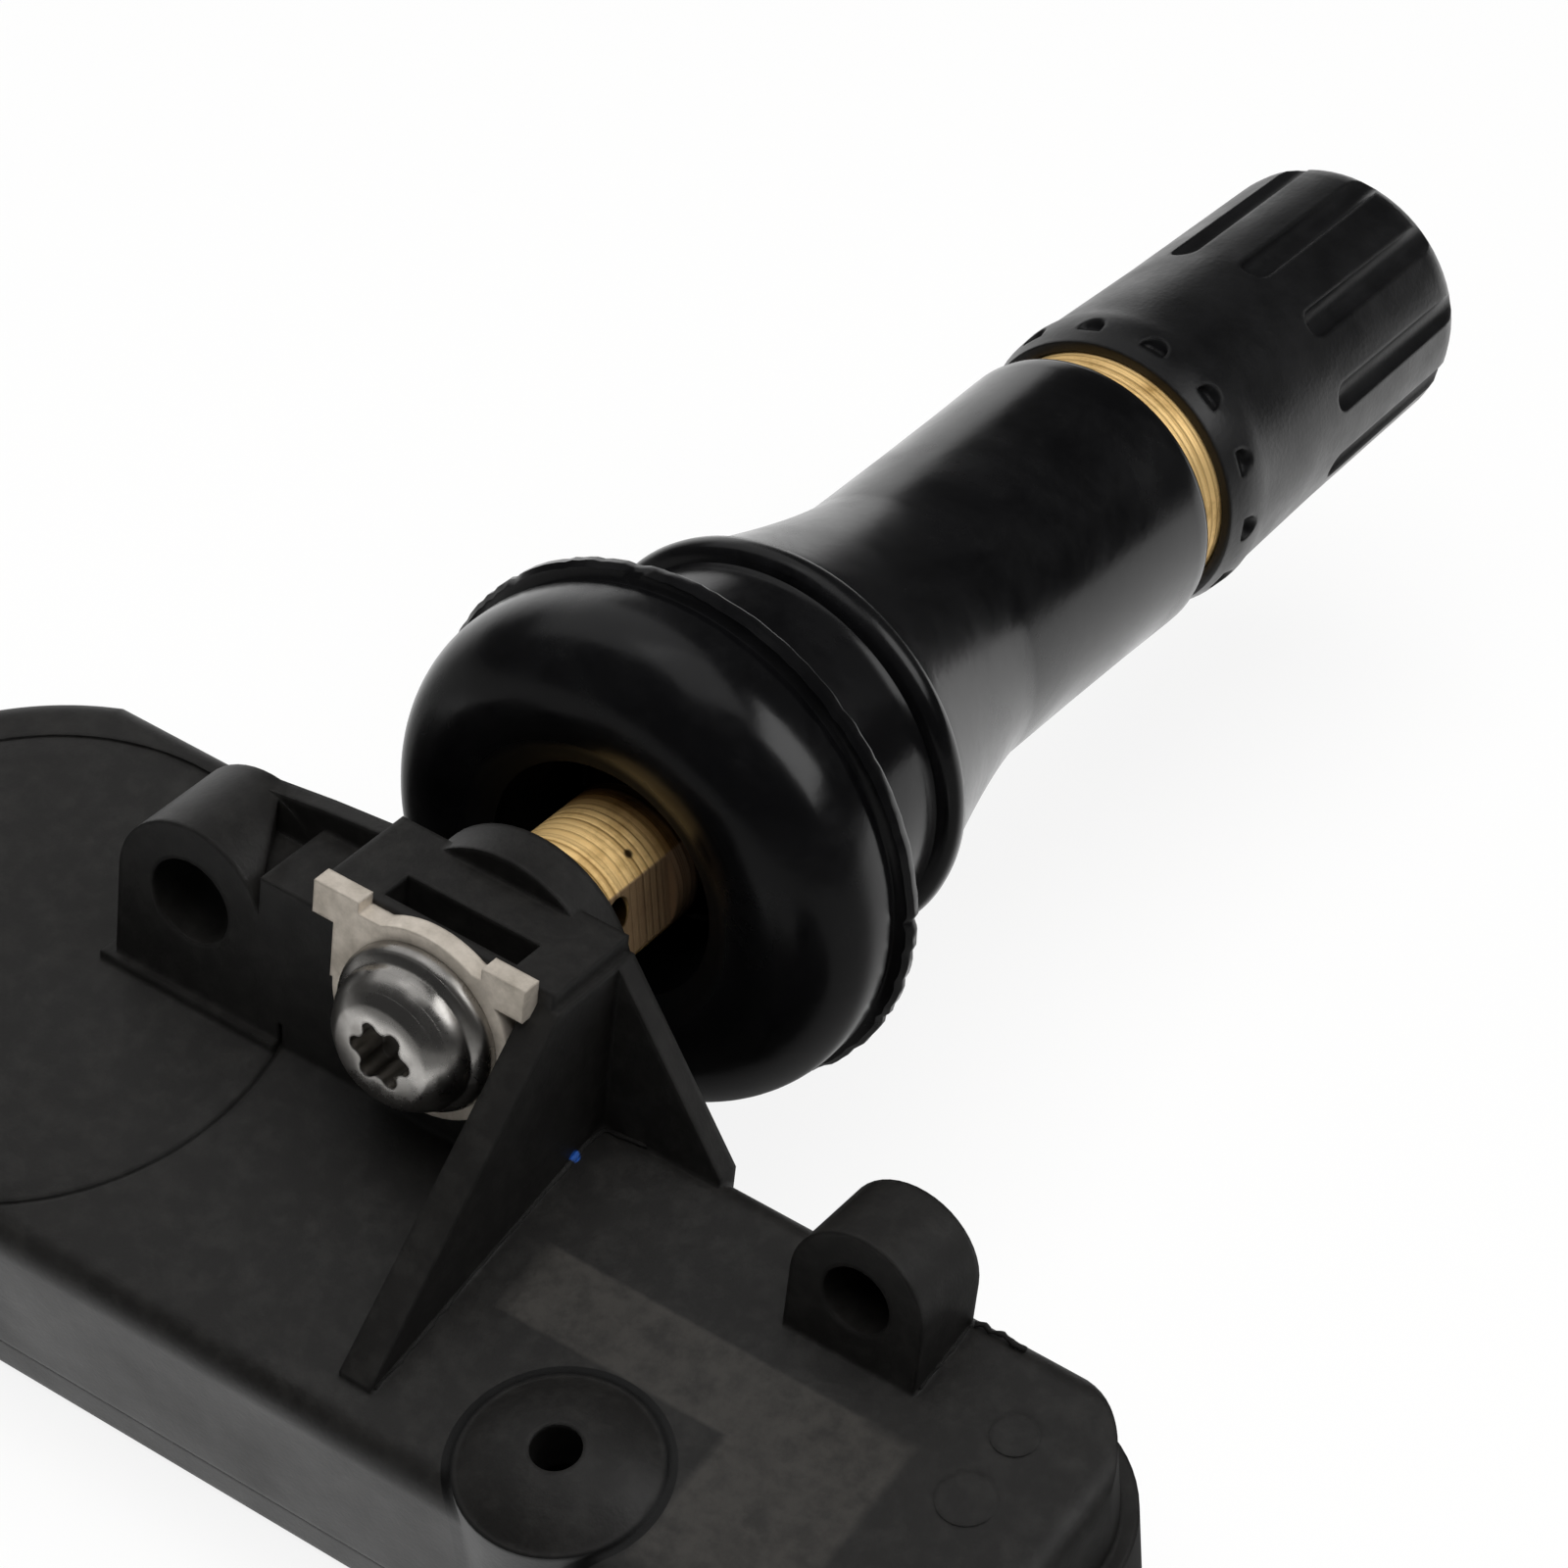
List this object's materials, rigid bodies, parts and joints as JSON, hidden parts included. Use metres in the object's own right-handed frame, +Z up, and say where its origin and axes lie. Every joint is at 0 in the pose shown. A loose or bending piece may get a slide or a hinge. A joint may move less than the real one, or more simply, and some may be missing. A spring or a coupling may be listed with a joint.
{
  "type": "tyre pressure sensor with valve stem",
  "caption": "Snap-in rubber valve stem with a ribbed black cap, screwed to a leaning black plastic sensor housing with a round battery end.",
  "frame": {"origin": "centre of the rubber flange's face that bears on the inside of the wheel rim, on the line of the stem", "axes": "+Y along the stem out of the wheel, through the cap; +X toward the pressure port end of the housing; +Z up, from the housing toward the wheel's rim well side of the stem"},
  "size_m": [0.0541, 0.0691, 0.0263],
  "materials": {
    "stem_rubber": "satin",
    "stem_brass": "satin",
    "core_brass": "satin",
    "seal_white": "matte",
    "pin_steel": "satin",
    "seal_black": "matte",
    "cap_plastic": "satin",
    "screw_steel": "satin",
    "clip_steel": "satin",
    "housing_plastic": "satin",
    "cover_plastic": "satin",
    "board_laminate": "satin",
    "cell_steel": "satin",
    "tab_nickel": "satin",
    "chip_black": "matte",
    "ferrite": "matte",
    "copper_wire": "gloss",
    "antenna_copper": "satin",
    "can_steel": "satin",
    "chip_ceramic": "matte"
  },
  "bodies": {
    "sensor": {"rubber_body": "stem_rubber", "valve_stem": "stem_brass", "core_plug": "core_brass", "core_seal": "seal_white", "core_barrel": "core_brass", "core_spring": "pin_steel", "mounting_screw": "screw_steel", "retaining_clip": "clip_steel", "housing": "housing_plastic", "base_cover": "cover_plastic", "circuit_board": "board_laminate", "battery_cell": "cell_steel", "battery_tab_positive": "tab_nickel", "battery_tab_negative": "tab_nickel", "sensor_chip": "chip_black", "port_seal": "seal_black", "coil_core": "ferrite", "coil_winding": "copper_wire", "rf_antenna": "antenna_copper", "crystal": "can_steel", "radio_chip": "chip_black", "chip_parts": "chip_ceramic"},
    "seal_nut": {"cap_seal": "seal_black"},
    "cap": {"cap": "cap_plastic"},
    "pin": {"core_pin": "pin_steel", "core_cup": "seal_black"}
  },
  "joints": [
    {"name": "cap_lift", "type": "slide", "parent": "sensor", "child": "seal_nut", "axis": [0, 1, 0], "range_m": [0, 0.0127]},
    {"name": "cap_turn", "type": "hinge", "parent": "seal_nut", "child": "cap", "pos_m": [0, 0.03, 0], "axis": [0, 1, 0], "range_deg": [0, 5760]},
    {"name": "core_pin_press", "type": "slide", "parent": "sensor", "child": "pin", "axis": [0, -1, 0], "range_m": [0, 0.0012], "stiffness_N_per_m": 900, "springref_m": -0.001, "deforming": ["core_spring"]}
  ],
  "couplings": [
    {"joint": "cap_turn", "follows": "cap_lift", "rad_per_m": 7913.3}
  ]
}
